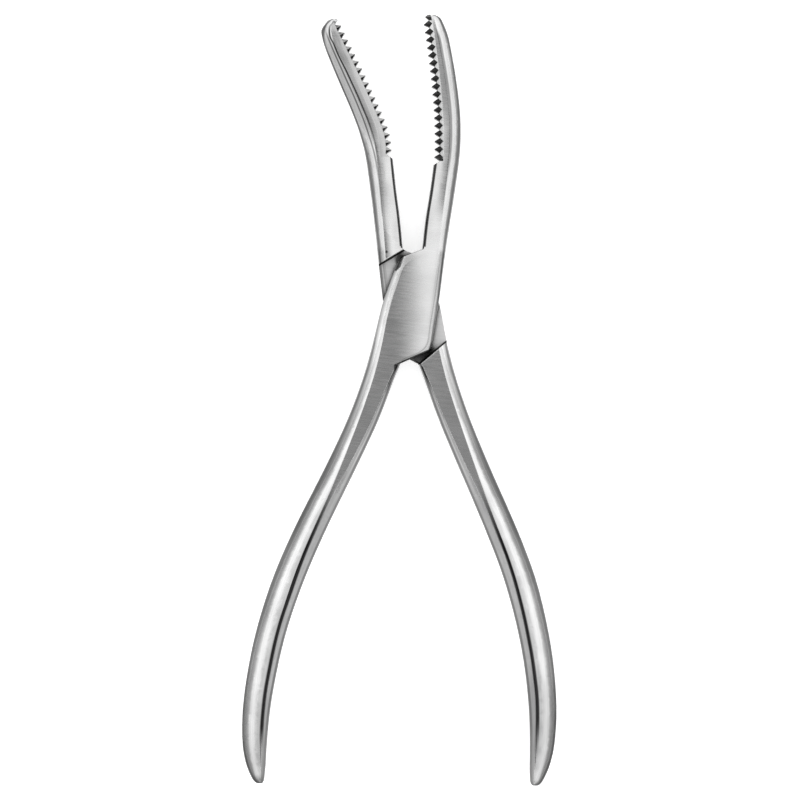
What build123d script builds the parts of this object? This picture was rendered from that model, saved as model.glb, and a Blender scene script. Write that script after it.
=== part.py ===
from build123d import *
import os
from math import asin, atan2, cos, hypot, radians, sin, tan

# Bone holding forceps. Millimetres. The pivot axis is Z through the origin, +Y runs to the
# jaws, and Z = 0 is the rear face, on which the forceps lies. Each lever is built with its
# jaw leaning to +X and its handle to -X. The rear lever is then turned about Y.

lock_thickness = 9.0
lap_gap = 0.05

# A row is: height, inner edge, outer edge, inner rounding, outer rounding, and how far each
# face lies inside the ground face. In the lock it is less than nothing: forged proud, then ground.
front_jaw = [
    (-18.0, -5.0, 5.0, 0.5, 0.8, -0.1),
    (-8.0, -3.9, 6.4, 0.5, 1.0, -0.1),
    (2.0, -1.0, 7.8, 0.5, 1.3, -0.1),
    (12.0, 2.2, 8.85, 0.5, 1.9, -0.1),
    (22.0, 3.25, 10.1, 0.5, 2.35, 0.0),
    (32.0, 4.55, 11.4, 0.5, 2.6, 0.0),
    (42.0, 5.45, 12.4, 0.5, 2.9, 0.0),
    (51.0, 5.15, 12.3, 0.5, 3.0, 0.0),
    (60.0, 4.2, 11.15, 0.5, 3.0, 0.0),
    (68.0, 2.98, 9.65, 0.5, 2.9, 0.0),
    (74.0, 2.05, 8.2, 0.5, 2.7, 0.0),
    (77.4, 1.75, 6.75, 0.45, 2.2, 0.13),
    (79.0, 2.7, 4.7, 0.4, 1.0, 0.61),
]
rear_jaw = [
    (-18.0, -5.0, 5.0, 0.5, 0.8, -0.1),
    (-8.0, -3.9, 6.4, 0.5, 1.0, -0.1),
    (2.0, -1.0, 7.9, 0.5, 1.3, -0.1),
    (12.0, 2.1, 9.32, 0.5, 2.2, -0.1),
    (22.0, 3.45, 10.65, 0.5, 2.4, 0.0),
    (32.0, 4.95, 12.1, 0.5, 2.7, 0.0),
    (42.0, 6.37, 13.91, 0.5, 3.1, 0.0),
    (50.0, 8.3, 16.65, 0.5, 3.4, 0.0),
    (58.0, 12.0, 20.25, 0.5, 3.4, 0.0),
    (66.0, 16.05, 23.85, 0.5, 3.1, 0.0),
    (71.0, 18.6, 25.8, 0.5, 2.9, 0.0),
    (74.2, 20.3, 26.35, 0.5, 2.7, 0.0),
    (76.2, 21.3, 25.2, 0.45, 1.8, 0.23),
    (77.2, 22.1, 23.7, 0.3, 0.8, 0.69),
]

# A row is: height, outer edge, inner edge, outer rounding, inner rounding, face inset as above.
front_handle = [
    (16.0, -1.9, 6.0, 1.5, 0.5, -0.1),
    (8.0, -5.2, 4.0, 1.7, 0.5, -0.1),
    (0.0, -7.8, 2.0, 2.1, 0.5, -0.1),
    (-10.0, -10.0, 0.0, 2.7, 0.7, -0.1),
    (-20.0, -12.5, -3.8, 3.1, 1.3, -0.1),
    (-32.0, -16.62, -8.09, 3.5, 1.8, -0.1),
    (-46.0, -22.75, -14.23, 4.4, 2.35, -0.07),
    (-60.0, -29.44, -20.68, 5.15, 2.75, 0.08),
    (-74.0, -35.29, -26.5, 5.5, 2.8, 0.3),
    (-88.0, -39.56, -31.17, 5.65, 2.45, 0.55),
    (-100.0, -41.97, -33.94, 5.6, 2.15, 0.75),
    (-112.0, -43.3, -35.76, 5.45, 1.85, 0.95),
    (-122.0, -43.05, -36.46, 4.8, 1.45, 1.3),
    (-127.5, -41.8, -36.65, 3.6, 1.2, 1.75),
    (-130.6, -40.4, -36.9, 2.2, 0.9, 2.35),
    (-132.0, -39.1, -37.4, 0.8, 0.5, 3.1),
]
rear_handle = [
    (16.0, -1.9, 6.0, 1.5, 0.5, -0.1),
    (8.0, -5.2, 4.0, 1.7, 0.5, -0.1),
    (0.0, -7.8, 2.0, 2.1, 0.5, -0.1),
    (-10.0, -10.0, 0.0, 2.7, 0.7, -0.1),
    (-20.0, -12.85, -3.8, 3.1, 1.3, -0.1),
    (-32.0, -17.31, -8.52, 3.5, 1.8, -0.1),
    (-46.0, -23.52, -14.82, 4.4, 2.35, -0.07),
    (-60.0, -30.1, -21.24, 5.15, 2.75, 0.08),
    (-74.0, -35.8, -26.97, 5.5, 2.8, 0.3),
    (-88.0, -39.6, -31.17, 5.65, 2.45, 0.55),
    (-100.0, -41.67, -33.63, 5.6, 2.15, 0.75),
    (-112.0, -42.54, -35.03, 5.35, 1.85, 0.95),
    (-122.0, -41.81, -35.41, 4.6, 1.45, 1.3),
    (-127.0, -40.39, -35.48, 3.4, 1.2, 1.75),
    (-129.6, -39.2, -35.7, 2.2, 0.9, 2.35),
    (-130.8, -38.0, -36.3, 0.8, 0.5, 3.1),
]

# sides: the tilt of the surface where it leaves the face, its mean slope down to the corner,
# the share of the rounding's width that lies outside the corner, the share of the thickness
# that the rim takes, and the steepest that it ends
jaw_bar_r = 4.0
handle_bar_r = 6.2
back_tilt_limit = 38.0
back_slope = 48.5
back_share = 0.15
jaw_inner_tilt = 60.0
jaw_inner_slope = 65.0
handle_inner_tilt = 50.0
handle_inner_slope = 57.0
inner_share = 0.45
jaw_rim = 0.6
handle_rim = 0.9
crest_tilt = 17.0
steepest_rim = 72.0
curve_pull = 0.36
wall_pull = 0.8
curve_share = 0.75

# ground faces, and how far the jaw faces fall towards the teeth
jaw_fall = 0.35
fall_start = 12.0
fall_end = 26.0
taper_start = 12.0
jaw_top = 79.3
tip_face_inset = 1.4

# lap joint: directions in degrees about the pivot, reaches from the pivot axis
plate_top_angle = 112.8
plate_top_reach = 12.67
plate_bottom_angle = -64.7
plate_bottom_reach = 13.81
shoulder_top_angle = 58.1
shoulder_top_reach = 13.75
shoulder_bottom_angle = 229.2
shoulder_bottom_reach = 14.3
edge_break = 0.2

# teeth
tooth_count = 18
tooth_depth = 1.55
tooth_blunt = 0.12
tooth_root_sink = 0.1
front_tooth_line = [(1.6, 76.2), (3.65, 63.26), (5.03, 50.73), (5.37, 40.1)]
rear_tooth_line = [(20.91, 75.41), (15.0, 64.01), (9.4, 52.38), (7.0, 46.3), (6.37, 41.78)]
front_nose = (1.85, 78.4)
rear_nose = (22.01, 76.92)
nose_overrun = 0.6
root_strip_width = 12.0
chamfer_width = 0.97
chamfer_height = 1.5
pyramid_sink = 0.12
tooth_face_drop = 0.28
flank_bevel = 0.9
bevel_width = 0.95

# rear jaw crease
crease_line = [(23.9, 73.0), (21.9, 68.04), (19.78, 64.25), (17.5, 59.36), (14.97, 53.4), (10.95, 42.5)]
crease_half_width = [0.12, 0.28, 0.36, 0.42, 0.5, 0.12]
crease_depth = 0.45
crease_lean = 0.6

# pivot screw
screw_shank_r = 3.0
screw_thread_r = 2.2
screw_cover = 1.2
screw_head_r = 4.6
screw_head_depth = 1.6
head_recess = 0.1
slot_width = 1.0
slot_depth = 0.9
slot_angle = 25.0
bore_clearance = 0.05
tap_clearance = 0.03

# cutting bodies
far = 200.0
cutter_back = 1.0
cutter_front = 4.0
cutter_top = 3.0
cutter_over = 0.4
line_points = 9
chamfer_lead = 1.5


def face_half(y):
    """Half thickness between the ground faces at height y."""
    if y <= taper_start:
        return lock_thickness / 2
    share = (y - taper_start) / (jaw_top - taper_start)
    return lock_thickness / 2 - tip_face_inset * share * share


def face_drop(y):
    """How far the face of a jaw lies lower at its inner edge than at its back."""
    share = min(max((y - fall_start) / (fall_end - fall_start), 0.0), 1.0)
    return jaw_fall * share * share * (3 - 2 * share)


def back_tilt(flat, bar_radius):
    """Tilt at the edge of a flat ground on a round bar, in degrees."""
    limit = radians(back_tilt_limit)
    return asin(min(flat / (2 * bar_radius), sin(limit)))


def side(edge, width, top, way, tilt, slope, share, rim_share):
    """Control points down one side of a section: a rim, a wall and the rim above the rear face."""
    across = width * (1 - share)
    drop = min(across * tan(radians(slope)), rim_share * top)
    low = top - drop
    turn = min(2 * atan2(drop, across) - tilt, radians(steepest_rim))
    outside = min(width * share, curve_share * wall_pull * low / tan(turn))
    bulge = outside / curve_share
    reach = curve_pull * hypot(width - outside, drop)
    start = edge - way * width
    corner = edge - way * outside
    rim = [
        (start, top),
        (start + way * reach * cos(tilt), top - reach * sin(tilt)),
        (corner - way * reach * cos(turn), low + reach * sin(turn)),
        (corner, low),
    ]
    pulled = (corner + way * bulge, low - bulge * tan(turn))
    wall = [(corner, low), pulled, (pulled[0], -pulled[1]), (corner, -low)]
    return [rim, wall, [(x, -z) for x, z in reversed(rim)]]


def closed_section(y, left, right):
    """A section between its two sides, with crowned faces, set upright at height y."""
    start = left[0][0]
    end = right[0][0]
    middle = ((start[0] + end[0]) / 2, max(start[1], end[1]))
    face = [start, middle, end]
    climb = [list(reversed(points)) for points in reversed(left)]
    rear = [(x, -z) for x, z in reversed(face)]
    plane = Plane((0, y, lock_thickness / 2), x_dir=(1, 0, 0), z_dir=(0, -1, 0))
    outline = Wire([Bezier(*points) for points in [face, *right, rear, *climb]])
    return plane * Face(outline)


def jaw_section(y, inner, outer, inner_width, outer_width, inset):
    """A cross-section of a jaw, whose inner side is the left one."""
    top = face_half(y) - inset
    low = top - face_drop(y)
    tilt = back_tilt(outer - inner - inner_width - outer_width, jaw_bar_r)
    lean = radians(jaw_inner_tilt)
    left = side(inner, inner_width, low, -1, lean, jaw_inner_slope, inner_share, jaw_rim)
    right = side(outer, outer_width, top, 1, tilt, back_slope, back_share, jaw_rim)
    return closed_section(y, left, right)


def handle_section(y, outer, inner, outer_width, inner_width, inset):
    """A cross-section of a handle, whose inner side is the right one."""
    top = face_half(y) - inset
    tilt = back_tilt(inner - outer - inner_width - outer_width, handle_bar_r)
    tilt = max(tilt, radians(crest_tilt))
    lean = radians(handle_inner_tilt)
    left = side(outer, outer_width, top, -1, tilt, back_slope, back_share, handle_rim)
    right = side(inner, inner_width, top, 1, lean, handle_inner_slope, inner_share, handle_rim)
    return closed_section(y, left, right)


def smoothed(rows):
    """The rows with one more between each two, on a smooth curve, but none before the tip's."""
    filled = []
    last = len(rows) - 2
    for i in range(last):
        start = rows[i]
        end = rows[i + 1]
        before = rows[max(i - 1, 0)]
        after = rows[min(i + 2, last)]
        span = end[0] - start[0]
        middle = []
        for j in range(len(start)):
            lead = (end[j] - before[j]) / (end[0] - before[0]) * span
            trail = (after[j] - start[j]) / (after[0] - start[0]) * span
            middle.append((start[j] + end[j]) / 2 + (lead - trail) / 8)
        filled += [start, tuple(middle)]
    return filled + rows[last:]


def beyond(angle, reach, z=0.0, lean=0.0):
    """Everything further than reach from the pivot axis in one direction."""
    block = Pos(far / 2, 0, 0) * Box(far, far, far)
    return Rot(0, 0, angle) * Pos(reach, 0, z) * Rot(0, lean, 0) * block


def ground_slab():
    """The space between the two ground faces of the lock."""
    return Pos(0, 0, lock_thickness / 2) * Box(2 * far, 2 * far, lock_thickness)


def forging(jaw_rows, handle_rows):
    """Jaw and handle as one bar, ground flat on both faces of the lock."""
    jaw = loft([jaw_section(*row) for row in smoothed(jaw_rows)]) & ground_slab()
    grip = loft([handle_section(*row) for row in smoothed(handle_rows)]) & ground_slab()
    top = lock_thickness
    jaw -= beyond(plate_bottom_angle, plate_bottom_reach)
    jaw -= beyond(plate_bottom_angle, plate_bottom_reach - edge_break, top, -45)
    grip -= beyond(plate_top_angle, plate_top_reach)
    grip -= beyond(plate_top_angle, plate_top_reach - edge_break, top, -45)
    return jaw + grip


def lap_space():
    """The half of the lock that the other lever fills, wider where its edges are broken."""
    depth = (lock_thickness + lap_gap) / 2
    block = Pos(0, 0, depth - far / 2) * Box(far, far, far)
    block -= beyond(shoulder_top_angle, shoulder_top_reach)
    block -= beyond(shoulder_bottom_angle, shoulder_bottom_reach)
    rim = Pos(0, 0, edge_break - far / 2) * Box(far, far, far)
    rim -= beyond(shoulder_top_angle, shoulder_top_reach + edge_break, 0, -45)
    rim -= beyond(shoulder_bottom_angle, shoulder_bottom_reach + edge_break, 0, -45)
    return block + rim


def tooth_point(line, step):
    """Point and outward direction on the tooth line, step counted in teeth from the first."""
    share = step / (tooth_count - 1)
    inside = min(max(share, 0.0), 1.0)
    tangent = line % inside
    point = line @ inside + tangent * (share - inside) * line.length
    return point, Vector(tangent.Y, -tangent.X)


def at(point, outward, out, z):
    """A point moved out from the tooth line and raised to z."""
    moved = point + outward * out
    return (moved.X, moved.Y, z)


def even_steps(start, end):
    """Evenly spaced places along a tooth line, counted in teeth from the first."""
    return [start + (end - start) * i / (line_points - 1) for i in range(line_points)]


def root_space(line, nose):
    """The strip in front of the root line, between the nose and the shank."""
    roots = []
    for step in even_steps(-0.5, tooth_count - 0.5):
        point, outward = tooth_point(line, step)
        roots.append(point - outward * tooth_depth)
    tip = Vector(nose[0], nose[1])
    nose_end = tip + (tip - roots[0]) * nose_overrun
    heel, outward = tooth_point(line, tooth_count)
    heel_end = heel + (heel - roots[-1]) * nose_overrun
    side = Vector(-root_strip_width, 0)
    edges = [
        Spline(*roots),
        Line(roots[-1], heel_end),
        Line(heel_end, heel_end + side),
        Line(heel_end + side, nose_end + side),
        Line(nose_end + side, nose_end),
        Line(nose_end, roots[0]),
    ]
    return extrude(make_face(edges), amount=far / 2, both=True)


def cutter_section(point, across, corners, side):
    """A closed outline square to the face; across points away from the jaw's back."""
    plane = Plane(
        (point.X, point.Y, lock_thickness / 2),
        x_dir=(across.X, across.Y, 0),
        z_dir=(-across.Y, across.X, 0),
    )
    outline = [(x, side * z) for x, z in corners]
    return plane * make_face(Polyline(*outline, close=True))


def chamfer_space(line, side):
    """The corner taken off one face of the jaw in front of its teeth."""
    slope = chamfer_height / chamfer_width
    sections = []
    for step in even_steps(-chamfer_lead, tooth_count - 0.5):
        point, outward = tooth_point(line, step)
        z = face_half(point.Y)
        corners = [
            (-cutter_back, z + cutter_back * slope),
            (-cutter_back, z + cutter_top),
            (cutter_front, z + cutter_top),
            (cutter_front, z - cutter_front * slope),
        ]
        start = point - outward * (tooth_depth + chamfer_width)
        sections.append(cutter_section(start, outward, corners, side))
    return loft(sections, ruled=True)


def pyramid_tooth(line, index):
    """A tooth whose ends slope back to the jaw faces in two facets."""
    point, outward = tooth_point(line, index)
    above, above_out = tooth_point(line, index - 0.5)
    below, below_out = tooth_point(line, index + 0.5)
    blunt = Vector(outward.Y, -outward.X) * (tooth_blunt / 2)
    root = -tooth_depth - tooth_root_sink
    back = -tooth_depth - chamfer_width
    corners = []
    for side in (-1, 1):
        face = face_half(point.Y) - pyramid_sink
        end = lock_thickness / 2 + side * (face - chamfer_height)
        corners.append(at(point + blunt, outward, 0, end))
        corners.append(at(point - blunt, outward, 0, end))
        corners.append(at(above, above_out, root, end))
        corners.append(at(below, below_out, root, end))
        corners.append(at(point, outward, back, lock_thickness / 2 + side * face))
    return ConvexPolyhedron(corners)


def bevelled_tooth(line, index):
    """A tooth with flat ends and its lower flank bevelled at each end."""
    point, outward = tooth_point(line, index)
    above, above_out = tooth_point(line, index - 0.5)
    below, below_out = tooth_point(line, index + 0.5)
    blunt = Vector(outward.Y, -outward.X) * (tooth_blunt / 2)
    root = -tooth_depth - tooth_root_sink
    bevel_top = below + (above - below).normalized() * bevel_width
    corners = []
    for side in (-1, 1):
        face = face_half(point.Y) - tooth_face_drop
        end = lock_thickness / 2 + side * face
        inner = lock_thickness / 2 + side * (face - flank_bevel)
        corners.append(at(point - blunt, outward, 0, end))
        corners.append(at(above, above_out, root, end))
        corners.append(at(bevel_top, outward, root, end))
        corners.append(at(point + blunt, outward, 0, inner))
        corners.append(at(below, below_out, root, inner))
    return ConvexPolyhedron(corners)


def crease_space(side):
    """A shallow groove between the round back of the rear jaw and its face."""
    path = Spline(*crease_line)
    sections = []
    for i, half_width in enumerate(crease_half_width):
        share = i / (len(crease_half_width) - 1)
        point = path @ share
        tangent = path % share
        depth = crease_depth * half_width / max(crease_half_width)
        z = face_half(point.Y)
        corners = [
            (-half_width, z + cutter_over),
            (half_width, z + cutter_over),
            (half_width, z),
            (0, z - depth),
            (-half_width, z - crease_lean * half_width),
        ]
        sections.append(cutter_section(point, Vector(tangent.Y, -tangent.X), corners, side))
    return loft(sections)


def thread_length():
    """Length of the threaded hole in the front lever, blind so that its face stays whole."""
    return (lock_thickness - lap_gap) / 2 - screw_cover


def screw_head(clearance):
    """Countersunk head, or with a clearance its seat and the opening above it."""
    cone = Cone(screw_head_r + clearance, screw_shank_r + clearance, screw_head_depth)
    head = Pos(0, 0, head_recess + screw_head_depth / 2) * cone
    if clearance:
        head += Cylinder(screw_head_r + clearance, 2 * head_recess)
    return head


def front_lever():
    """Lever that passes in front at the lock."""
    body = forging(front_jaw, front_handle) - lap_space()
    line = Spline(*front_tooth_line)
    body -= root_space(line, front_nose)
    body -= [chamfer_space(line, side) for side in (-1, 1)]
    body += [pyramid_tooth(line, index) for index in range(tooth_count)]
    hole = Cylinder(screw_thread_r + tap_clearance, 2 * thread_length())
    body -= Pos(0, 0, (lock_thickness + lap_gap) / 2) * hole
    return body


def rear_lever():
    """Lever that passes behind at the lock, built like the front one and turned over."""
    body = forging(rear_jaw, rear_handle) - lap_space()
    line = Spline(*rear_tooth_line)
    body -= root_space(line, rear_nose)
    body -= [crease_space(side) for side in (-1, 1)]
    body += [bevelled_tooth(line, index) for index in range(tooth_count)]
    body = Pos(0, 0, lock_thickness) * Rot(0, 180, 0) * body
    body -= Cylinder(screw_shank_r + bore_clearance, 3 * lock_thickness)
    body -= screw_head(bore_clearance)
    return body


def pivot_screw():
    """Screw with a slotted countersunk head, a plain shank and a thread shown as a cylinder."""
    shank_top = (lock_thickness + lap_gap) / 2
    shank_bottom = head_recess + screw_head_depth
    length = thread_length() - tap_clearance
    body = screw_head(0)
    shank = Cylinder(screw_shank_r, shank_top - shank_bottom)
    body += Pos(0, 0, (shank_top + shank_bottom) / 2) * shank
    body += Pos(0, 0, shank_top + length / 2) * Cylinder(screw_thread_r, length)
    slot = Box(3 * screw_head_r, slot_width, 2 * slot_depth)
    body -= Pos(0, 0, head_recess) * Rot(0, 0, slot_angle) * slot
    return body


def export(shape, name):
    """Write one part."""
    shape.label = name
    export_step(shape, "parts/" + name + ".step")


def main():
    """Build and write every part."""
    os.makedirs("parts", exist_ok=True)
    export(front_lever(), "front_lever")
    export(rear_lever(), "rear_lever")
    export(pivot_screw(), "pivot_screw")


main()
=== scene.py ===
from math import cos, radians, sin

import bpy
import numpy as np
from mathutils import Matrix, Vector

# Bone holding forceps, lying on a pale table and seen from straight above. Metres.

MM = 0.001
FRONT = "front_lever"
REAR = "rear_lever"
SCREW = "pivot_screw"

# view: the point in the middle of the picture, the picture's width there, its turn and distance
VIEW_POINT = Vector((-2.37, -26.39, 0.0)) * MM
VIEW_WIDTH = 219.36 * MM
VIEW_TURN = radians(1.4)
VIEW_DISTANCE = 1.5
VIEW_START = 0.05
SENSOR = 36.0

# light: brightness of the sky at rising slopes of the direction, 0 at the horizon, 1 overhead
SKY = [
    (0.0, 0.95),
    (0.17, 1.15),
    (0.34, 1.2),
    (0.5, 1.42),
    (0.62, 1.45),
    (0.69, 1.15),
    (0.74, 0.76),
    (0.79, 0.8),
    (0.85, 1.25),
    (0.93, 1.35),
    (0.96, 0.75),
    (0.985, 0.1),
]
SKY_WHITE = 2.0

# table: tone, glow in what is seen of it, roughness, shine, size, and how far it lies below
TABLE_TONE = 0.93
TABLE_GLOW = 0.6
TABLE_ROUGHNESS = 0.9
TABLE_SHINE = 0.1
TABLE_SIZE = 6.0
TABLE_DROP = 0.05 * MM

# steel: reflectance, roughness of its surfaces, radius of the worn edges
STEEL = 0.66
GROUND_ROUGHNESS = 0.27
POLISH_ROUGHNESS = 0.16
CUT_ROUGHNESS = 0.4
LAP_ROUGHNESS = 0.5
INNER_ROUGHNESS = 0.34
EDGE_RADIUS = 0.16 * MM
BEVEL_SAMPLES = 6
OPENNESS_SAMPLES = 8

# From here on lengths and heights are in millimetres, apart from those multiplied by MM, and lean
# and up are parts of the surface's direction. A pair is a soft step, nothing at its first number
# and full at its second. Three numbers are a soft band: its two ends and how soft they are. A
# tone multiplies the brightness, and the core of a line is a part of its half width.
LINE_CORE = 0.4

# the edges of a lever are measured at this many heights, the outermost this far inside its ends
STATIONS = 41
STATION_INSET = 0.3

# lock, jaw, grip and ground faces
LOCK = (-15.5, 14.5, 1.0)
JAW_START = (14.0, 15.0)
GRIP_START = (-15.0, -16.0)
FACE_UP = (0.955, 0.985)
FACE_FADE = (-66.0, -50.0)

# lap floors: heights along the lever and above the table, and a tone that paints them a little
# lighter
LAP_SPAN = (-17.0, 16.0, 0.5)
LAP_LEVEL = (3.5, 5.5, 0.2)
LAP_LIGHT_TONE = 1.05

# brushing: how fast a noise changes across, along and in depth, its detail and its roughness
MARKS = ((0.13, 2.2, 1.0), 3.0, 0.6)
SCRATCHES = ((0.1, 3.6, 1.0), 2.0, 0.5)
STREAKS = ((2.2, 0.045, 1.5), 3.0, 0.6)
CLOUDS = ((0.11, 0.11, 0.11), 2.0, 0.5)
MARK_SLANT = 0.08
NOISE = (0.3, 0.7)
SCRATCH_STEP = (0.6, 0.7)
SCRATCH_TONE = 0.07
MARK_TONES = (0.98, 1.02)
STREAK_TONES = (0.95, 1.05)
CLOUD_TONES = (0.94, 1.06)
BRUSH_START = (-34.0, -14.0)
BRUSH_SPREADS = (0.004, 0.018)
BRUSH_DEPTHS = (0.0003, 0.0008)
STREAK_DEPTH = 0.0006

# tooth lines as (height, distance from the middle line), and the direction along each
TOOTH_LINE = {
    FRONT: [(76.2, 1.6), (63.26, 3.65), (50.73, 5.03), (40.1, 5.37)],
    REAR: [(75.41, 20.91), (64.01, 15.0), (52.38, 9.4), (46.3, 7.0), (41.78, 6.37)],
}
TOOTH_RUN = {FRONT: (0.09, -0.996), REAR: (0.42, -0.907)}

# teeth: heights, reach behind the line, lean, slant of the cut flanks, their tones of painted shade
# by how far they face up, and the painted shade on the rear teeth
TEETH_SPAN = {FRONT: (39.8, 77.4, 0.3), REAR: (39.8, 76.4, 0.3)}
TEETH_REACH = (3.2, 3.0)
TEETH_LEAN = (0.2, 0.1)
CUT_SLANT = (0.2, 0.3)
CUT_UP = (0.12, 0.35)
CUT_SHADE_TONES = (0.35, 0.05)
REAR_TEETH_SHADE = 0.8

# facets of the front teeth, the front nose, and the flats between the teeth, with painted light on
# the flats: a lighter tone and a share that is not metal
FACET_UP = (0.7, 0.93, 0.03)
NOSE_SPAN = (77.4, 78.4, 0.15)
FLAT_UP = (0.4, 0.64, 0.05)
FLAT_LEAN = (-0.5, -0.7)
FLAT_LIGHT_TONE = 1.1
FLAT_METAL = 0.2

# painted shade: brightness painted on the rounds against how far the surface faces up or down,
# darker where it turns sideways: in general, and on the outer and inner sides of the handles
SHADE_BY_UP = [
    (0.0, 0.55),
    (0.1, 0.42),
    (0.2, 0.2),
    (0.3, 0.16),
    (0.42, 0.14),
    (0.485, 0.15),
    (0.573, 0.2),
    (0.62, 0.34),
    (0.66, 0.48),
    (0.71, 0.86),
    (0.75, 1.0),
    (1.0, 1.0),
]
GRIP_OUTSIDE_SHADE = [
    (0.0, 0.55),
    (0.1, 0.42),
    (0.2, 0.2),
    (0.3, 0.17),
    (0.53, 0.16),
    (0.64, 0.18),
    (0.695, 0.33),
    (0.743, 0.42),
    (0.788, 0.52),
    (0.83, 0.78),
    (0.87, 1.0),
    (1.0, 1.0),
]
GRIP_INSIDE_SHADE = [
    (0.0, 0.55),
    (0.1, 0.42),
    (0.2, 0.22),
    (0.3, 0.2),
    (0.5, 0.35),
    (0.6, 0.48),
    (0.8, 0.85),
    (0.95, 1.1),
    (1.0, 1.0),
]
INSIDE_START = (-8.0, -24.0)
OUTSIDE_START = (-16.0, -48.0)
OUTSIDE_LEAN = (0.1, -0.1)

# the bright strip down the side of the lock: its surface, heights, width and two tones, which
# paint shade at its outer edge and a little light inside it
FLANK_LEAN = (-0.3, -0.45)
FLANK_UP = (0.5, 0.9, 0.05)
STRIP_SPAN = (-14.0, 12.0, 6.0)
STRIP_WIDTH = (0.4, 1.8)
STRIP_SHADE_TONES = (0.4725, 1.05)

# crest of each handle as (height, distance from the middle line), and the painted dark reflection
# line on it
CREST = {
    FRONT: [
        (-124.0, -38.1),
        (-110.0, -37.6),
        (-100.0, -36.2),
        (-90.0, -34.2),
        (-80.0, -31.2),
        (-70.0, -27.9),
        (-62.0, -24.7),
        (-50.0, -19.6),
    ],
    REAR: [
        (-124.0, -37.0),
        (-110.0, -37.3),
        (-100.0, -36.2),
        (-90.0, -34.3),
        (-80.0, -31.8),
        (-70.0, -28.6),
        (-62.0, -25.3),
        (-50.0, -20.1),
    ],
}
CREST_START = (-44.0, -68.0)
CREST_END = {FRONT: (-124.0, -116.0), REAR: (-125.0, -112.0)}
CREST_SHIFT = 0.12
CREST_HALF_WIDTH = 0.72
CREST_REFLECTION_TONE = 0.07

# the duller finish between crest and inner edge, and the painted shade towards the end of each
# handle and at its tip
INNER_BAND = (0.4, 3.6, 0.4)
INNER_START = (-44.0, -58.0)
END_SHADE_SPAN = {FRONT: (-98.0, -128.0), REAR: (-86.0, -116.0)}
END_SHADE_TONE = 0.72
TIP = (-129.0, -131.5)
TIP_SHADE_TONE = 0.5

# walls of the jaws below the teeth, painted darker as shade
WALL_LEAN = (-0.45, -0.65)
WALL_UP = (0.3, 0.15)
WALL_TOP = (40.8, 39.8)
WALL_SHADE_TONE = 0.7

# painted shade outlines: the surfaces that carry them, and the inner edge of each jaw below its
# teeth
LINE_UP = (0.1, 0.25)
JAW_EDGE = {
    FRONT: [(15.0, 2.7), (24.0, 3.49), (30.0, 4.31), (36.0, 5.0), (39.5, 5.4)],
    REAR: [(15.0, 2.65), (24.0, 3.74), (30.0, 4.67), (36.0, 5.49), (40.5, 6.0)],
}
JAW_EDGE_SPAN = {FRONT: (15.5, 39.5, 0.2), REAR: (15.5, 40.5, 0.2)}
JAW_EDGE_WIDTH = {FRONT: (1.0, 0.75), REAR: (0.85, 0.65)}
JAW_EDGE_SHADE_TONE = 0.07

# painted shade outlines down the inner and outer sides of the handles and the jaws' backs, and a
# painted highlight (gleam) beside the inner edge of each handle
INNER_WIDTH = (0.85, 0.6)
INNER_END = (-126.0, -110.0)
INNER_RISE = (-60.0, -24.0)
INNER_SHADE_TONES = (0.5, 0.1)
GLEAM_BAND = (1.0, 1.25, 0.15)
GLEAM_SPAN = (-46.0, -22.0, 5.0)
GLEAM_TONE = 1.6
OUTER_WIDTH = (1.1, 0.5)
OUTER_SPAN = (-64.0, -16.0, 6.0)
OUTER_END = (-90.0, -116.0)
OUTER_END_SHARE = 0.6
BACK_WIDTH = (0.8, 0.3)
BACK_START = (16.0, 24.0)
OUTLINE_SHADE_TONE = 0.38

# the edge of the lock's ground face, worked along its length, its lines and band painted darker as
# shade
MARGIN_WIDTH = (2.8, 0.4)
MARGIN_LINES = ((1.7, 0.03, 0.0), 2.0, 0.6)
MARGIN_STEP = (0.42, 0.58)
MARGIN_SHADE_TONES = (0.35, 0.8)

# the shade along the back of the front jaw's face
FACE_SHADE_BAND = (2.35, 3.1, 0.3)
FACE_SHADE_START = (28.0, 44.0)
FACE_SHADE_END = (77.0, 72.0)
FACE_SHADE_TONE = 0.36

# painted shade on the back of the rear jaw
BACK_SHADE_WIDTH = (5.5, 4.5)
BACK_SHADE_SPAN = (46.0, 72.0, 6.0)
BACK_SHADE_TONE = 0.66

# creases between face and back of the rear jaw, painted dark as shade: (height, distance from the
# middle line)
BOLD_CREASE = [
    (76.9, 22.0),
    (76.0, 23.3),
    (74.2, 24.1),
    (70.0, 22.7),
    (62.0, 18.7),
    (54.0, 14.9),
    (46.0, 11.7),
    (38.0, 9.65),
    (27.0, 8.25),
    (14.0, 6.95),
]
BOLD_HALF_WIDTH = 0.36
BOLD_SPAN = (14.0, 76.8, 0.3)
BOLD_TOP = (77.0, 73.5)
BOLD_TOP_SHARE = 0.3
BOLD_RISE = (34.0, 54.0)
BOLD_SHADE_TONES = (0.85, 0.1)
THIN_CREASE = [
    (75.0, 25.6),
    (70.0, 23.55),
    (62.0, 19.8),
    (54.0, 16.0),
    (46.0, 12.75),
    (38.0, 10.4),
    (22.0, 8.3),
]
THIN_HALF_WIDTH = 0.34
THIN_SPAN = (24.0, 73.0, 2.0)
THIN_RISE = (28.0, 50.0)
THIN_SHADE_TONES = (0.6, 0.3)

# spots on the rear lever: distance from the middle line and height, size and tone. The dot is at
# the crease's lower end, and the corners of painted shade are on the lap.
DOT = (7.0, 13.9)
DOT_SIZE = (0.5, 0.2)
DOT_TONE = 0.2
SHADED_CORNERS = [((-3.9, -14.4), 4.2), ((3.0, 11.8), 2.0)]
CORNER_CORE = 0.6
CORNER_SHADE_TONE = 0.3

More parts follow.
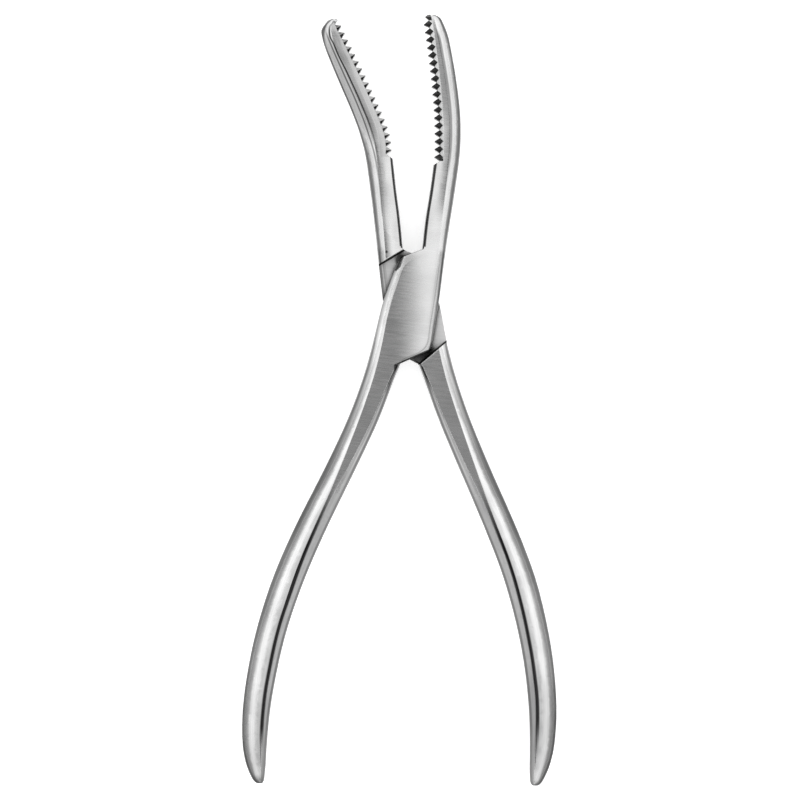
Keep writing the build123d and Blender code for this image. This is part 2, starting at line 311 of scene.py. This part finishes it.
# painted shade in lines just inside edges across the lock, and painted shade in the notches beside
# it. An edge is the direction of its outward normal, its distance from the axis and its heights.
PLATE_EDGE = (radians(-64.7), 13.81, (-18.5, -11.0, 0.3))
SHOULDER_EDGES = [
    (radians(58.1), 13.75, (5.0, 17.0, 0.3)),
    (radians(229.2), 14.3, (-18.0, -5.0, 0.3)),
]
EDGE_WIDTH = (0.55, 0.35)
PLATE_LEVEL = (4.8, 5.2)
PLATE_EDGE_START = (-4.4, -4.0)
PLATE_EDGE_SHADE_TONE = 0.12
SHOULDER_SHADE_TONE = 0.1
NOTCH_REACH = 2.0 * MM
NOTCH_SPAN = (-19.0, 18.0, 1.0)
NOTCH_OPEN = (0.72, 0.5)
NOTCH_OPEN_LAP = (0.55, 0.35)
NOTCH_SHADE_TONE = 0.1

# faces are crowned: the lock like a barrel of a radius, from a line on
CROWN_UP = (0.9, 0.97)
LOCK_CROWN_START = -6.5
LOCK_CROWN_RADIUS = 56.0
LOCK_CROWN_RISE = (-24.0, -14.0)
RIM_WIDTH = (2.6, 2.2)
RIM_SPAN = (-5.0, 12.0, 3.0)
RIM_LEAN = 0.2
ROLL_START = (5.0, 16.0)
ROLL_END = (32.0, 18.0)
ROLL_ACROSS = (-5.0, 3.0)
ROLL = 0.2

# the jaws' faces lean inwards from this far inside the back
JAW_CROWN_START = 2.5
JAW_CROWN_RADIUS = {FRONT: 26.0, REAR: 30.0}
JAW_CROWN_RISE = {FRONT: (8.0, 24.0), REAR: (-6.0, 2.0)}
JAW_CROWN_FADE = (44.0, 60.0)
JAW_CROWN_LEFT = 0.3
SHOULDER_START = (25.0, 15.0)
SHOULDER_WIDTH = (2.5, 5.5)
SHOULDER_LEAN = 0.12
BESIDE_START = (32.0, 20.0)
BESIDE_WIDTH = (2.2, 2.8)
BESIDE_LEAN = 0.08

# the screw's turned rings, clouds and painted shade where nearby surfaces hide the sky
RINGS = ((4.0, 0.0, 0.0), 3.0, 0.6)
SCREW_CLOUDS = ((0.4, 0.4, 0.4), 2.0, 0.5)
RING_TONES = (0.92, 1.06)
SCREW_CLOUD_TONES = (0.93, 1.05)
RING_ROUGHNESS = (0.22, 0.32)
RING_DEPTH = 0.003
SCREW_SHADE_REACH = 1.5 * MM
SCREW_OPEN = (0.3, 0.8)
SCREW_SHADE_TONE = 0.3
SCREW_EDGE_RADIUS = 0.08 * MM
SCREW_BEVEL_SAMPLES = 4


class Graph:
    """Adds shader nodes to one tree and links them."""

    def __init__(self, tree):
        self.tree = tree

    def node(self, kind, inputs=None, **settings):
        """A node with its settings and its inputs, which are numbers, tuples or other sockets."""
        made = self.tree.nodes.new(kind)
        for name, value in settings.items():
            setattr(made, name, value)
        for name, value in (inputs or {}).items():
            socket = made.inputs[name]
            if isinstance(value, bpy.types.NodeSocket):
                self.tree.links.new(value, socket)
            else:
                socket.default_value = value
        return made

    def math(self, operation, first, second=0.0, third=0.0):
        """The result of one arithmetic step."""
        inputs = {0: first, 1: second, 2: third}
        return self.node("ShaderNodeMath", inputs, operation=operation).outputs[0]

    def product(self, first, *others):
        """All the values multiplied."""
        result = first
        for value in others:
            result = self.math("MULTIPLY", result, value)
        return result

    def smooth(self, value, low=0.0, high=1.0, start=0.0, end=1.0):
        """A soft step of the value from start at low to end at high."""
        made = self.node(
            "ShaderNodeMapRange",
            {"Value": value, "From Min": low, "From Max": high, "To Min": start, "To Max": end},
            interpolation_type="SMOOTHSTEP",
        )
        return made.outputs["Result"]

    def band(self, value, low, high, soft):
        """One inside low to high, nothing outside, with soft ends."""
        rise = self.smooth(value, low - soft, low + soft)
        return self.product(rise, self.smooth(value, high + soft, high - soft))

    def line(self, distance, half_width):
        """One on a line, fading to nothing at its edges."""
        core = half_width * LINE_CORE
        return self.smooth(self.math("ABSOLUTE", distance), half_width, core)

    def blend(self, share, first, second):
        """A number between first and second."""
        made = self.node("ShaderNodeMix", {"Factor": share, "A": first, "B": second})
        return made.outputs["Result"]

    def vector(self, x, y, z):
        """A vector from three numbers."""
        return self.node("ShaderNodeCombineXYZ", {0: x, 1: y, 2: z}).outputs[0]

    def vector_math(self, operation, inputs, output):
        """One output of an arithmetic step on vectors."""
        return self.node("ShaderNodeVectorMath", inputs, operation=operation).outputs[output]

    def noise(self, place, pace, detail, roughness):
        """Noise around one half that changes at its own pace in each direction."""
        scaled = [self.product(part, speed) if speed else 0.0 for part, speed in zip(place, pace)]
        made = self.node(
            "ShaderNodeTexNoise",
            {"Vector": self.vector(*scaled), "Scale": 1.0, "Detail": detail, "Roughness": roughness},
        )
        return made.outputs["Fac"]

    def openness(self, reach):
        """How little of the sky is hidden by surfaces within reach."""
        made = self.node("ShaderNodeAmbientOcclusion", {"Distance": reach}, samples=OPENNESS_SAMPLES)
        return made.outputs["AO"]

    def worn_edges(self, radius, samples):
        """The normal, with edges rounded by a radius."""
        return self.node("ShaderNodeBevel", {"Radius": radius}, samples=samples).outputs[0]

    def curve(self, value, points):
        """A smooth curve through points, whose first values rise."""
        low, high = points[0][0], points[-1][0]
        bottom = min(point[1] for point in points)
        top = max(point[1] for point in points)
        share = self.math("DIVIDE", self.math("SUBTRACT", value, low), high - low)
        made = self.node("ShaderNodeFloatCurve", {"Value": share})
        line = made.mapping.curves[0].points
        scaled = [((a - low) / (high - low), (b - bottom) / (top - bottom)) for a, b in points]
        line[0].location = scaled[0]
        line[1].location = scaled[-1]
        for place in scaled[1:-1]:
            line.new(*place)
        made.mapping.update()
        return self.math("MULTIPLY_ADD", made.outputs[0], top - bottom, bottom)

    def metal(self, tone, rough, height, normal, metallic=1.0):
        """The metal shader of a surface, as the output of the material."""
        grey = self.product(tone, STEEL)
        colour = self.node("ShaderNodeCombineColor", {0: grey, 1: grey, 2: grey}).outputs[0]
        bump = self.node(
            "ShaderNodeBump", {"Strength": 1.0, "Distance": MM, "Height": height, "Normal": normal}
        ).outputs[0]
        shader = self.node(
            "ShaderNodeBsdfPrincipled",
            {"Base Color": colour, "Metallic": metallic, "Roughness": rough, "Normal": bump},
        )
        self.node("ShaderNodeOutputMaterial", {"Surface": shader.outputs[0]})


def surface(name):
    """A new material and its graph, with the place on the object in millimetres and the normal."""
    material = bpy.data.materials.new(name)
    material.use_nodes = True
    material.node_tree.nodes.clear()
    g = Graph(material.node_tree)
    found = g.node("ShaderNodeTexCoord").outputs
    scaled = g.vector_math("SCALE", {0: found["Object"], "Scale": 1 / MM}, 0)
    place = tuple(g.node("ShaderNodeSeparateXYZ", {0: scaled}).outputs)
    normal = tuple(g.node("ShaderNodeSeparateXYZ", {0: found["Normal"]}).outputs)
    return material, g, place, normal


def lever_edges(lever, side):
    """Both edges of a lever, seen from the front, as (height, distance from the middle line)."""
    mesh = lever.data
    points = np.array([v.co for v in mesh.vertices]) / MM
    ends = np.array([e.vertices for e in mesh.edges])
    first = points[ends[:, 0]]
    second = points[ends[:, 1]]
    bottom = points[:, 1].min() + STATION_INSET
    top = points[:, 1].max() - STATION_INSET
    low_edge = []
    high_edge = []
    for y in np.linspace(bottom, top, STATIONS):
        crossing = (first[:, 1] - y) * (second[:, 1] - y) < 0
        a = first[crossing]
        b = second[crossing]
        share = (y - a[:, 1]) / (b[:, 1] - a[:, 1])
        across = side * (a[:, 0] + (b[:, 0] - a[:, 0]) * share)
        low_edge.append((float(y), float(across.min())))
        high_edge.append((float(y), float(across.max())))
    return low_edge, high_edge


class LeverSteel:
    """Stainless steel: cross-brushed ground faces, polished rounds, and painted shade on cut teeth,
    walls, sides and edges.

    The distance across a lever is measured towards the side on which its jaw lies. Its low edge
    is the inner edge of the jaw and the outer edge of the handle.
    """

    def __init__(self, lever, side):
        self.name = lever.name
        self.side = side
        self.material, self.g, self.place, self.normal = surface(lever.name + "_steel")
        g = self.g
        x, self.y, self.z = self.place
        self.across = g.product(x, side)
        self.lean = g.product(self.normal[0], side)
        self.up = g.math("ABSOLUTE", self.normal[2])
        low_edge, high_edge = lever_edges(lever, side)
        self.from_low = self.past(low_edge)
        self.from_high = g.product(self.past(high_edge), -1.0)
        self.past_crest = self.past(CREST[self.name])
        self.ground = g.product(g.smooth(self.up, *FACE_UP), g.smooth(self.y, *FACE_FADE))
        self.lap = g.product(g.band(self.y, *LAP_SPAN), g.band(self.z, *LAP_LEVEL), self.ground)
        self.flank = g.product(g.smooth(self.lean, *FLANK_LEAN), g.band(self.up, *FLANK_UP))
        self.shown = g.smooth(self.up, *LINE_UP)

        self.find_teeth()
        self.find_walls()
        self.brush()
        self.facing_shade()
        self.shade_teeth()
        self.shade_handle()
        self.draw_outlines()
        self.shade_margin()
        if self.name == FRONT:
            self.shade_front_face()
        else:
            self.draw_creases()
        self.shade_lock()
        normal = self.crowned(g.worn_edges(EDGE_RADIUS, BEVEL_SAMPLES))
        # painted light: the flats between the teeth are partly not metal, so that they look lit
        metallic = g.blend(self.flats, 1.0, FLAT_METAL)
        g.metal(self.tone, self.roughness(), self.relief(), normal, metallic)

    def past(self, points):
        """Signed distance across the lever from a line through points."""
        return self.g.math("SUBTRACT", self.across, self.g.curve(self.y, sorted(points)))

    def near(self, spot, edge, core):
        """One around a spot, from its core to its edge."""
        here = self.g.vector(self.across, self.y, 0.0)
        distance = self.g.vector_math("DISTANCE", {0: here, 1: (*spot, 0.0)}, "Value")
        return self.g.smooth(distance, edge, core)

    def inside_edge(self, turn, reach, span):
        """One just inside a straight edge across the lever, nothing elsewhere."""
        along = self.g.math("MULTIPLY_ADD", self.y, -sin(turn), reach)
        inside = self.g.math("MULTIPLY_ADD", self.across, -cos(turn), along)
        return self.g.product(self.g.smooth(inside, *EDGE_WIDTH), self.g.band(self.y, *span))

    def shade(self, mask, tone):
        """Multiplies the tone where the mask is one."""
        self.tone = self.g.product(self.tone, self.g.blend(mask, 1.0, tone))

    def find_teeth(self):
        """The masks of the teeth, their dark cut flanks and the flats between them."""
        g = self.g
        run_across, run_up = TOOTH_RUN[self.name]
        slant = g.math("MULTIPLY_ADD", self.lean, run_across, g.product(self.normal[1], run_up))
        self.teeth = g.product(
            g.band(self.y, *TEETH_SPAN[self.name]),
            g.smooth(self.past(TOOTH_LINE[self.name]), *TEETH_REACH),
            g.smooth(self.lean, *TEETH_LEAN),
        )
        self.cut = g.product(self.teeth, g.smooth(g.math("ABSOLUTE", slant), *CUT_SLANT))
        inward = g.product(g.band(self.up, *FLAT_UP), g.smooth(self.lean, *FLAT_LEAN))
        self.flats = g.product(inward, self.teeth)
        if self.name == FRONT:
            facets = g.product(self.teeth, g.band(self.up, *FACET_UP))
            nose = g.product(inward, g.band(self.y, *NOSE_SPAN))
            self.cut = g.math("MAXIMUM", self.cut, g.math("MAXIMUM", facets, nose))

    def find_walls(self):
        """The mask of the jaw's inner wall below the teeth and of steep surfaces above it."""
        g = self.g
        steep = g.math("MAXIMUM", g.smooth(self.up, *WALL_UP), g.smooth(self.y, *WALL_TOP))
        self.wall = g.product(g.smooth(self.y, *JAW_START), g.smooth(self.lean, *WALL_LEAN), steep)

    def brush(self):
        """Short marks across the ground faces, long ones along the rounds, and slow clouds."""
        g = self.g
        x, y, z = self.place
        slanted = (x, g.math("MULTIPLY_ADD", x, MARK_SLANT, y), z)
        self.marks = g.noise(slanted, *MARKS)
        self.streaks = g.noise((self.from_low, y, z), *STREAKS)
        scratches = g.smooth(g.noise(slanted, *SCRATCHES), *SCRATCH_STEP)
        marked = g.smooth(self.marks, *NOISE, *MARK_TONES)
        brushed = g.math("MULTIPLY_ADD", scratches, SCRATCH_TONE, marked)
        polished = g.smooth(self.streaks, *NOISE, *STREAK_TONES)
        clouds = g.smooth(g.noise(self.place, *CLOUDS), *NOISE, *CLOUD_TONES)
        self.tone = g.product(g.blend(self.ground, polished, brushed), clouds)

    def facing_shade(self):
        """Painted shade on the rounds by how far they face up, everywhere but on the teeth."""
        g = self.g
        inside = g.smooth(self.y, *INSIDE_START)
        facing_shade = g.blend(inside, g.curve(self.up, SHADE_BY_UP), g.curve(self.up, GRIP_INSIDE_SHADE))
        outside = g.product(g.smooth(self.y, *OUTSIDE_START), g.smooth(self.lean, *OUTSIDE_LEAN))
        facing_shade = g.blend(outside, facing_shade, g.curve(self.up, GRIP_OUTSIDE_SHADE))
        # the strip is painted darker at its outer edge as shade, and a little lighter inside it
        strip = g.product(g.band(self.y, *STRIP_SPAN), self.flank)
        facing_shade = g.blend(strip, facing_shade, g.smooth(self.from_low, *STRIP_WIDTH, *STRIP_SHADE_TONES))
        self.tone = g.product(self.tone, g.blend(self.teeth, facing_shade, 1.0))

    def shade_teeth(self):
        """Painted shade on the rear teeth, the cut flanks and the walls, and painted light on the
        flats.
        """
        g = self.g
        # painted shade on the rear teeth, and on the cut flanks by how far they face up
        if self.name == REAR:
            self.shade(self.teeth, REAR_TEETH_SHADE)
        self.shade(self.flats, FLAT_LIGHT_TONE)
        self.shade(self.cut, g.smooth(self.up, *CUT_UP, *CUT_SHADE_TONES))
        # painted shade on the jaw walls
        self.shade(g.smooth(self.wall), WALL_SHADE_TONE)

    def shade_handle(self):
        """The painted dark reflection along the handle's crest, and painted shade at its end and
        tip.
        """
        g = self.g
        # a painted dark reflection along the crest
        line = g.product(
            g.line(g.math("SUBTRACT", self.past_crest, CREST_SHIFT), CREST_HALF_WIDTH),
            g.smooth(self.y, *CREST_END[self.name]),
            g.smooth(self.y, *CREST_START),
        )
        self.shade(line, CREST_REFLECTION_TONE)
        # painted shade towards the end of the handle, darker still at its tip
        self.shade(g.smooth(self.y, *END_SHADE_SPAN[self.name]), END_SHADE_TONE)
        self.shade(g.smooth(self.y, *TIP), TIP_SHADE_TONE)

    def draw_outlines(self):
        """Painted shade lines along the lever's edges, and a painted highlight beside the handle's
        inner edge.
        """
        g = self.g
        line = g.product(
            g.smooth(self.past(JAW_EDGE[self.name]), *JAW_EDGE_WIDTH[self.name]),
            g.band(self.y, *JAW_EDGE_SPAN[self.name]),
            self.shown,
        )
        self.shade(line, JAW_EDGE_SHADE_TONE)
        # a painted highlight beside the handle's inner edge
        gleam = g.product(g.band(self.from_high, *GLEAM_BAND), g.band(self.y, *GLEAM_SPAN))
        self.shade(gleam, GLEAM_TONE)
        line = g.product(
            g.smooth(self.y, *GRIP_START),
            self.shown,
            g.smooth(self.from_high, *INNER_WIDTH),
            g.smooth(self.y, *INNER_END),
        )
        self.shade(line, g.smooth(self.y, *INNER_RISE, *INNER_SHADE_TONES))
        end = g.smooth(self.y, *OUTER_END, 0.0, OUTER_END_SHARE)
        outer = g.math("MAXIMUM", g.band(self.y, *OUTER_SPAN), end)
        outer = g.product(g.smooth(self.from_low, *OUTER_WIDTH), outer)
        back = g.product(g.smooth(self.from_high, *BACK_WIDTH), g.smooth(self.y, *BACK_START))
        self.shade(g.product(g.math("MAXIMUM", outer, back), self.shown), OUTLINE_SHADE_TONE)

    def shade_margin(self):
        """Fine worked lines along the edge of the lock's ground face, painted darker as shade."""
        g = self.g
        # painted shade in a band and in lines along the edge of the lock's face
        margin = g.product(g.band(self.y, *LOCK), g.smooth(self.from_high, *MARGIN_WIDTH))
        lines = g.noise((self.from_high, self.y, self.z), *MARGIN_LINES)
        self.shade(margin, g.smooth(lines, *MARGIN_STEP, *MARGIN_SHADE_TONES))

    def shade_front_face(self):
        """The shade along the back of the front jaw's face."""
        g = self.g
        line = g.product(
            g.band(self.from_high, *FACE_SHADE_BAND),
            g.smooth(self.y, *FACE_SHADE_START),
            g.smooth(self.y, *FACE_SHADE_END),
        )
        self.shade(g.smooth(line), FACE_SHADE_TONE)

    def draw_creases(self):
        """Painted shade on the back of the rear jaw and in its two creases, and the dot at the end
        of one.
        """
        g = self.g
        # painted shade on the back of the rear jaw
        dull = g.product(
            g.smooth(self.from_high, *BACK_SHADE_WIDTH), g.band(self.y, *BACK_SHADE_SPAN)
        )
        self.shade(g.smooth(dull), BACK_SHADE_TONE)
        # the creases painted dark as shade in their grooves
        bold = g.product(
            g.line(self.past(BOLD_CREASE), BOLD_HALF_WIDTH),
            g.band(self.y, *BOLD_SPAN),
            g.smooth(self.y, *BOLD_TOP, BOLD_TOP_SHARE, 1.0),
        )
        self.shade(bold, g.smooth(self.y, *BOLD_RISE, *BOLD_SHADE_TONES))
        thin = g.product(
            g.line(self.past(THIN_CREASE), THIN_HALF_WIDTH), g.band(self.y, *THIN_SPAN)
        )
        self.shade(thin, g.smooth(self.y, *THIN_RISE, *THIN_SHADE_TONES))
        self.shade(self.near(DOT, *DOT_SIZE), DOT_TONE)

    def shade_lock(self):
        """The lap floors painted lighter, painted shade along edges across the lock and in its
        notches.
        """
        g = self.g
        # painted light: the lap floors a little lighter
        self.shade(self.lap, LAP_LIGHT_TONE)
        # painted shade in the notches, where nearby surfaces hide the sky
        sky_seen = g.openness(NOTCH_REACH)
        notch = g.product(
            g.band(self.y, *NOTCH_SPAN),
            g.blend(self.lap, g.smooth(sky_seen, *NOTCH_OPEN_LAP), g.smooth(sky_seen, *NOTCH_OPEN)),
        )
        if self.name == FRONT:
            notch = g.product(notch, g.math("SUBTRACT", 1.0, self.flank))
            line = g.product(
                self.inside_edge(*PLATE_EDGE),
                g.smooth(self.z, *PLATE_LEVEL),
                g.smooth(self.across, *PLATE_EDGE_START),
            )
            self.shade(line, PLATE_EDGE_SHADE_TONE)
        else:
            # painted shade in the corners of the lap
            for spot, size in SHADED_CORNERS:
                corner = self.near(spot, size, size * CORNER_CORE)
                self.shade(g.product(corner, self.lap), CORNER_SHADE_TONE)
        for edge in SHOULDER_EDGES:
            self.shade(g.product(self.inside_edge(*edge), self.lap), SHOULDER_SHADE_TONE)
        self.shade(g.smooth(notch), NOTCH_SHADE_TONE)

    def roughness(self):
        """Roughness of the polished, ground, cut, lapped and inner surfaces."""
        g = self.g
        spread = g.product(
            g.smooth(self.marks, *NOISE, -1.0, 1.0), g.smooth(self.y, *BRUSH_START, *BRUSH_SPREADS)
        )
        rough = g.blend(self.ground, POLISH_ROUGHNESS, g.math("ADD", spread, GROUND_ROUGHNESS))
        dull = g.math("MAXIMUM", self.cut, g.math("MAXIMUM", self.wall, self.flats))
        rough = g.blend(dull, rough, CUT_ROUGHNESS)
        rough = g.blend(self.lap, rough, LAP_ROUGHNESS)
        inner = g.product(g.band(self.past_crest, *INNER_BAND), g.smooth(self.y, *INNER_START))
        return g.blend(inner, rough, INNER_ROUGHNESS)

    def relief(self):
        """Height of the brushing and of the polishing streaks."""
        g = self.g
        marks = g.product(self.marks, g.smooth(self.y, *BRUSH_START, *BRUSH_DEPTHS))
        return g.blend(self.ground, g.product(self.streaks, STREAK_DEPTH), marks)

    def jaw_lean(self, rise):
        """How far the jaw's face leans across, from the back inwards."""
        g = self.g
        inside = g.math("MAXIMUM", g.math("SUBTRACT", self.from_high, JAW_CROWN_START), 0.0)
        lean = g.product(inside, -1 / JAW_CROWN_RADIUS[self.name])
        if self.name == FRONT:
            lean = g.product(lean, g.smooth(self.y, *JAW_CROWN_FADE, 1.0, JAW_CROWN_LEFT))
        shoulder = g.product(
            g.smooth(self.y, *SHOULDER_START), g.smooth(self.from_high, *SHOULDER_WIDTH)
        )
        lean = g.math("MULTIPLY_ADD", shoulder, -SHOULDER_LEAN, lean)
        if self.name == REAR:
            beside = g.product(
                g.smooth(self.y, *BESIDE_START), g.smooth(self.from_high, *BESIDE_WIDTH)
            )
            lean = g.math("MULTIPLY_ADD", beside, -BESIDE_LEAN, lean)
        return g.product(lean, rise)

    def lock_lean(self, rise):
        """How far the lock's face leans across, like a barrel with a rounded rim."""
        g = self.g
        barrel = g.product(
            g.math("MAXIMUM", g.math("SUBTRACT", self.across, LOCK_CROWN_START), 0.0),
            g.math("SUBTRACT", 1.0, rise),
            g.smooth(self.y, *LOCK_CROWN_RISE, 0.0, 1 / LOCK_CROWN_RADIUS),
        )
        rim = g.product(g.smooth(self.from_low, *RIM_WIDTH), g.band(self.y, *RIM_SPAN))
        return g.math("MULTIPLY_ADD", rim, -RIM_LEAN, barrel)

    def crowned(self, normal):
        """The normal, leaned over on the faces of the lock and the jaws by their slight crowns."""
        g = self.g
        flat = g.product(g.smooth(self.up, *CROWN_UP), g.math("SUBTRACT", 1.0, self.lap))
        rise = g.smooth(self.y, *JAW_CROWN_RISE[self.name])
        lean = self.jaw_lean(rise)
        roll = 0.0
        if self.name == FRONT:
            lean = g.math("ADD", lean, self.lock_lean(rise))
            roll = g.product(
                g.smooth(self.y, *ROLL_START),
                g.smooth(self.y, *ROLL_END),
                g.smooth(self.across, *ROLL_ACROSS, 0.0, ROLL),
                flat,
            )
        turned = g.node(
            "ShaderNodeVectorTransform",
            {"Vector": g.vector(g.product(lean, self.side, flat), roll, 0.0)},
            vector_type="VECTOR",
            convert_from="OBJECT",
            convert_to="WORLD",
        ).outputs[0]
        return g.vector_math("NORMALIZE", {0: g.vector_math("ADD", {0: normal, 1: turned}, 0)}, 0)


def screw_steel():
    """Turned steel, with fine rings round the axis and painted shade in its hollows."""
    material, g, place, _ = surface("screw_steel")
    radius = g.vector_math("LENGTH", {0: g.vector(place[0], place[1], 0.0)}, "Value")
    rings = g.noise((radius, 0.0, 0.0), *RINGS)
    clouds = g.noise(place, *SCREW_CLOUDS)
    tone = g.product(
        g.smooth(rings, *NOISE, *RING_TONES),
        g.smooth(clouds, *NOISE, *SCREW_CLOUD_TONES),
        # painted shade where nearby surfaces hide the sky
        g.smooth(g.openness(SCREW_SHADE_REACH), *SCREW_OPEN, SCREW_SHADE_TONE, 1.0),
    )
    rough = g.smooth(rings, *NOISE, *RING_ROUGHNESS)
    normal = g.worn_edges(SCREW_EDGE_RADIUS, SCREW_BEVEL_SAMPLES)
    g.metal(tone, rough, g.product(rings, RING_DEPTH), normal)
    return material


def table():
    """The pale table, which glows a little in what the camera and mirrors see of it."""
    bpy.ops.mesh.primitive_plane_add(size=TABLE_SIZE, location=(0, 0, -TABLE_DROP))
    plane = bpy.context.object
    plane.name = "table"
    material = bpy.data.materials.new("pale_table")
    material.use_nodes = True
    shader = material.node_tree.nodes["Principled BSDF"]
    shader.inputs["Base Color"].default_value = (TABLE_TONE, TABLE_TONE, TABLE_TONE, 1)
    shader.inputs["Roughness"].default_value = TABLE_ROUGHNESS
    shader.inputs["Specular IOR Level"].default_value = TABLE_SHINE
    g = Graph(material.node_tree)
    path = g.node("ShaderNodeLightPath").outputs
    seen = g.math("MAXIMUM", path["Is Camera Ray"], path["Is Glossy Ray"])
    shader.inputs["Emission Color"].default_value = (1, 1, 1, 1)
    material.node_tree.links.new(g.product(seen, TABLE_GLOW), shader.inputs["Emission Strength"])
    plane.data.materials.append(material)


def sky():
    """A soft tent of light that is bright all round and dark overhead."""
    world = bpy.data.worlds.new("tent")
    bpy.context.scene.world = world
    world.use_nodes = True
    world.node_tree.nodes.clear()
    g = Graph(world.node_tree)
    direction = g.node("ShaderNodeTexCoord").outputs["Generated"]
    rise = g.node("ShaderNodeSeparateXYZ", {0: direction}).outputs[2]
    ramp = g.node("ShaderNodeValToRGB", {0: rise})
    ramp.color_ramp.interpolation = "EASE"
    stops = ramp.color_ramp.elements
    stops[0].position = SKY[0][0]
    stops[1].position = SKY[-1][0]
    for position, _ in SKY[1:-1]:
        stops.new(position)
    for stop, (_, light) in zip(stops, SKY):
        share = light / SKY_WHITE
        stop.color = (share, share, share, 1)
    strength = g.product(ramp.outputs[0], SKY_WHITE)
    shader = g.node("ShaderNodeBackground", {"Color": (1, 1, 1, 1), "Strength": strength})
    g.node("ShaderNodeOutputWorld", {"Surface": shader.outputs[0]})


def camera():
    """Straight down on the forceps, from far off."""
    data = bpy.data.cameras.new("camera")
    data.sensor_width = SENSOR
    data.lens = SENSOR * VIEW_DISTANCE / VIEW_WIDTH
    data.clip_start = VIEW_START
    eye = bpy.data.objects.new("camera", data)
    eye.location = VIEW_POINT + Vector((0, 0, VIEW_DISTANCE))
    eye.rotation_euler = (0, 0, VIEW_TURN)
    bpy.context.scene.collection.objects.link(eye)
    bpy.context.scene.camera = eye


def set_material(node, material):
    """Gives a CAD node one material."""
    node.data.materials.clear()
    node.data.materials.append(material)


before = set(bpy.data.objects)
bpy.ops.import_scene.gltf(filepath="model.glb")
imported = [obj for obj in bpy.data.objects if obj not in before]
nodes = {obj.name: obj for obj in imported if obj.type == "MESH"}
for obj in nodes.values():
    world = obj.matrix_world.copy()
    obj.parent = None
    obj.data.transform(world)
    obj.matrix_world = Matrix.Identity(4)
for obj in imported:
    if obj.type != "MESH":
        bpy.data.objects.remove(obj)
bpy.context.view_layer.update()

table()
sky()
camera()
set_material(nodes[FRONT], LeverSteel(nodes[FRONT], 1.0).material)
set_material(nodes[REAR], LeverSteel(nodes[REAR], -1.0).material)
set_material(nodes[SCREW], screw_steel())
bpy.context.scene.view_settings.view_transform = "Standard"
